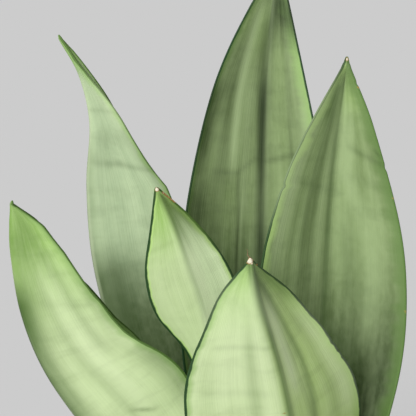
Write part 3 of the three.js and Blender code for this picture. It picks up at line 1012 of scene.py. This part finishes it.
# wing and other: the tones of foot, body and tip on the two wings; the dark feet of the back
# left, tall and right leaves are painted shade. turns: the millimetres up the leaf where the
# foot ends, the body starts, the body ends and the tip is reached. deep and pale: what the
# strokes and bands turn the skin to. line, rim: the margin's tones on the wing and on the
# other; on the tall and right leaves the rim is partly painted light and painted shade.
# line_width, rim_width: how wide they are, in mm.
LOOKS = {
    "leaf_front": dict(
        wing=("foot", "silver", "fern"), other=("foot", "lime", "olive"),
        turns=(20, 90, 160, 205), deep="deep", pale="pale", line=("ink", "ink"),
        rim=("rim", "glow"), rim_width=(4.0, 9.0), bands=0.10, streaks=0.16, line_width=0.75),
    # The wing's darker leaf body is painted shade: that wing is the far one, turned down away from the
    # lamp.
    "leaf_left": dict(
        wing=("foot", "leaf", "fern"), other=("foot", "silver", "fern"),
        turns=(20, 95, 155, 225), deep="deep", pale="pale", line=("seam", "seam"),
        rim=("rim", "rim"), rim_width=(3.0, 4.0), bands=0.12, streaks=0.18),
    # Its dark shade foot, up to where the body starts at 185 mm, is painted shade deep in the plant
    # behind the leaves in front.
    "leaf_back_left": dict(
        wing=("shade", "sage", "olive"), other=("shade", "sage", "olive"),
        turns=(130, 185, 255, 280), deep="shade", pale="pale", line=("seam", "seam"),
        rim=("rim", "rim"), rim_width=(2.5, 3.0), bands=0.12, streaks=0.10),
    # The other wing's bright body is painted light: the fold turns that wing from the lamp.
    "leaf_small": dict(
        wing=("foot", "silver", "fern"), other=("foot", "bright", "olive"),
        turns=(20, 110, 175, 212), deep="olive", pale="pale", line=("ink", "ink"),
        rim=("glow", "glow"), rim_width=(2.0, 3.0), bands=0.08, streaks=0.12, line_width=0.75),
    # Its dark shade foot is painted shade. Its wing's rim is painted light where that margin turns
    # towards the lamp, and the other's darker seam rim is painted shade where it turns away.
    "leaf_tall": dict(
        wing=("shade", "moss", "night"), other=("shade", "moss", "leaf"),
        turns=(140, 195, 255, 288), deep="night", pale="haze", line=("ink", "ink"),
        rim=("rim", "seam"), rim_width=(7.0, 3.0), bands=0.14, streaks=0.20),
    # Its dark night foot is painted shade under the front leaf. The other wing's glow rim is painted
    # light where that margin turns towards the lamp.
    "leaf_right": dict(
        wing=("night", "moss", "leaf"), other=("night", "moss", "olive"),
        turns=(105, 190, 225, 260), deep="shade", pale="haze", line=("seam", "ink"),
        rim=("seam", "glow"), rim_width=(8.0, 5.5), bands=0.16, streaks=0.20),
}
print("tones:", len(TONES))


# %% The skin of a leaf
RAMP_TOP, FINE_LINE = 300.0, 0.42


def tone(name):
    return rgb(*TONES[name])


def along_wing(look, wing):
    """The tones of one wing with their places, from foot to tip."""
    foot, body, tip = map(tone, look[wing])
    return list(zip(look["turns"], (foot, body, body, tip)))


def leaf_skin(name, look, seed):
    material, tree, shader = finish_material("skin_of_" + name)
    across, up, from_edge = separate(tree, known(tree, "leaf_place"))
    dark, pale, dry = separate(tree, known(tree, "leaf_paint"))
    grown = place_effect(tree, fibres, across=across, up=up, seed=seed)
    wings = step(tree, across, -0.05, 0.05)
    # Foot, body and tip tones up each wing; the back leaves' dark feet among them are painted shade.
    sides = [ramp(tree, up, along_wing(look, wing), RAMP_TOP) for wing in ("other", "wing")]
    skin = blend(tree, wings, *sides)
    deep, light = tone(look["deep"]), tone(look["pale"])

    def tint(amount, share, colour):
        return blend(tree, times(tree, amount, share, clamp=True), skin, colour)

    skin = tint(grown["Streaks"], look["streaks"], light)
    skin = tint(calc(tree, "SUBTRACT", 1.0, grown["Streaks"]), look["streaks"] * 0.6, deep)
    skin = tint(grown["Fibres"], 0.035, deep)
    skin = tint(grown["Bands"], look["bands"], deep)
    skin = tint(grown["Mottle"], 0.07, light)
    edge = place_effect(tree, margin, from_edge=from_edge, up=up, side=wings,
                        line=look.get("line_width", FINE_LINE),
                        rim=calc(tree, "ADD", look["rim_width"][1], times(
                            tree, wings, look["rim_width"][0] - look["rim_width"][1])))
    # On the tall and right leaves the rim is partly painted light and painted shade; the line is the
    # margin's own dark edge.
    for part, amount in (("rim", 0.75), ("line", 0.98)):
        wing_tone, other_tone = look[part]
        colour = blend(tree, wings, tone(other_tone), tone(wing_tone))
        skin = blend(tree, times(tree, edge[part.capitalize()], amount), skin, colour)
    # The strokes painted into the mesh: some dark ones are painted shade and painted shadow, some pale
    # ones painted light.
    patchy = step(tree, grown["Streaks"], 0.0, 1.0, to=(1.0, 0.8))
    skin = blend(tree, times(tree, dark, patchy), skin, deep)
    skin = blend(tree, times(tree, pale, 0.9), skin, light)
    dead = ramp(tree, dry, [(0.0, rgb(150, 160, 70)), (0.45, rgb(158, 116, 66)),
                            (0.75, rgb(234, 226, 202))], way="LINEAR")
    skin = blend(tree, step(tree, dry, 0.1, 0.4), skin, dead)
    feed(tree, shader.inputs["Base Color"], skin)
    shader.inputs["Specular IOR Level"].default_value = 0.2
    worn = calc(tree, "ADD", times(tree, grown["Fibres"], 0.5), times(tree, grown["Mottle"], 0.5))
    feed(tree, shader.inputs["Roughness"], step(tree, worn, 0.0, 1.0, to=(0.44, 0.6)))
    ridges = calc(tree, "ADD", times(tree, grown["Fibres"], 0.6), times(tree, grown["Streaks"], 0.8))
    emboss(tree, shader, ridges, 0.00012, 0.6)
    return material


for seed, (name, blade) in enumerate(leaves.items()):
    blade.data.materials.append(leaf_skin(name, LOOKS[name], 3.7 * seed + 1.3))
print("leaf skins:", len(leaves))

# %% The finish of the dry tip
dried, tree, shader = finish_material("dried_tip")
place = on_piece(tree)
height = separate(tree, place)[2]
tip_at = LEAVES["leaf_front"]["spine"][-1][2] * MM
fleck = noise(tree, place, 2600.0, 3.0)
bare = step(tree, height, tip_at + 0.4 * MM, tip_at + 1.6 * MM)
feed(tree, shader.inputs["Base Color"], blend(
    tree, bare, rgb(222, 208, 178), blend(tree, fleck, rgb(100, 82, 54), rgb(140, 120, 84))))
feed(tree, shader.inputs["Roughness"], step(tree, fleck, 0.3, 0.7, to=(0.6, 0.85)))
emboss(tree, shader, fleck, 0.0002)
tip_hair.data.materials.append(dried)
print("dried tip on:", tip_hair.name)


# %% [markdown]
# ## The pot's glaze and the soil
#
# The pot has a matte pale glaze over stoneware: fine dark specks show through it, and faint
# rings are left from the wheel. The soil and its bits are fibrous and dull, and every bit has
# its own tone, taken from a random number that each separate island of faces has.

# %% The pot's glaze
glaze, tree, shader = finish_material("matte_glaze")
place = on_piece(tree)
x, y, z = separate(tree, place)
cloud = noise(tree, place, 38.0, 4.0)
specks = step(tree, noise(tree, place, 1500.0, 1.0), 0.66, 0.74)
rings = noise(tree, combine(tree, 0.0, 0.0, z), 420.0, 3.0)
body = blend(tree, step(tree, cloud, 0.3, 0.7), rgb(216, 211, 200), rgb(204, 197, 184))
body = blend(tree, step(tree, z, 0.0, 0.012, to=(0.45, 0.0)), body, rgb(176, 160, 138))
feed(tree, shader.inputs["Base Color"],
     blend(tree, times(tree, specks, 0.55), body, rgb(120, 104, 86)))
feed(tree, shader.inputs["Roughness"], step(tree, cloud, 0.3, 0.7, to=(0.62, 0.78)))
grainy = calc(tree, "ADD", rings, times(tree, noise(tree, place, 900.0, 2.0), 0.35))
emboss(tree, shader, grainy, 0.0003)
pot.data.materials.append(glaze)
print("glaze on:", pot.name)


# %% The soil and its bits
def earthy(name, light, shade, roughness, scale, pieces):
    material, tree, shader = finish_material(name)
    place = on_piece(tree)
    own = add(tree, "NewGeometry").outputs["Random Per Island"]
    grain = noise(tree, place, scale, 5.0, 0.6)
    tone = blend(tree, own, rgb(*light), rgb(*shade))
    feed(tree, shader.inputs["Base Color"], blend(
        tree, step(tree, grain, 0.4, 0.66), tone, rgb(*shade)))
    feed(tree, shader.inputs["Roughness"], step(tree, grain, 0.3, 0.7, to=roughness))
    emboss(tree, shader, grain, 0.0006, 0.7)
    for piece in pieces:
        piece.data.materials.append(material)
    print(name, "on", len(pieces))


earthy("potting_soil", (74, 54, 40), (38, 28, 22), (0.85, 0.98), 700.0, [soil, crumbs])
earthy("weathered_bark", (134, 98, 68), (72, 50, 36), (0.7, 0.92), 1100.0, [bark])
earthy("white_perlite", (236, 233, 226), (200, 196, 186), (0.8, 0.95), 1500.0, [perlite])
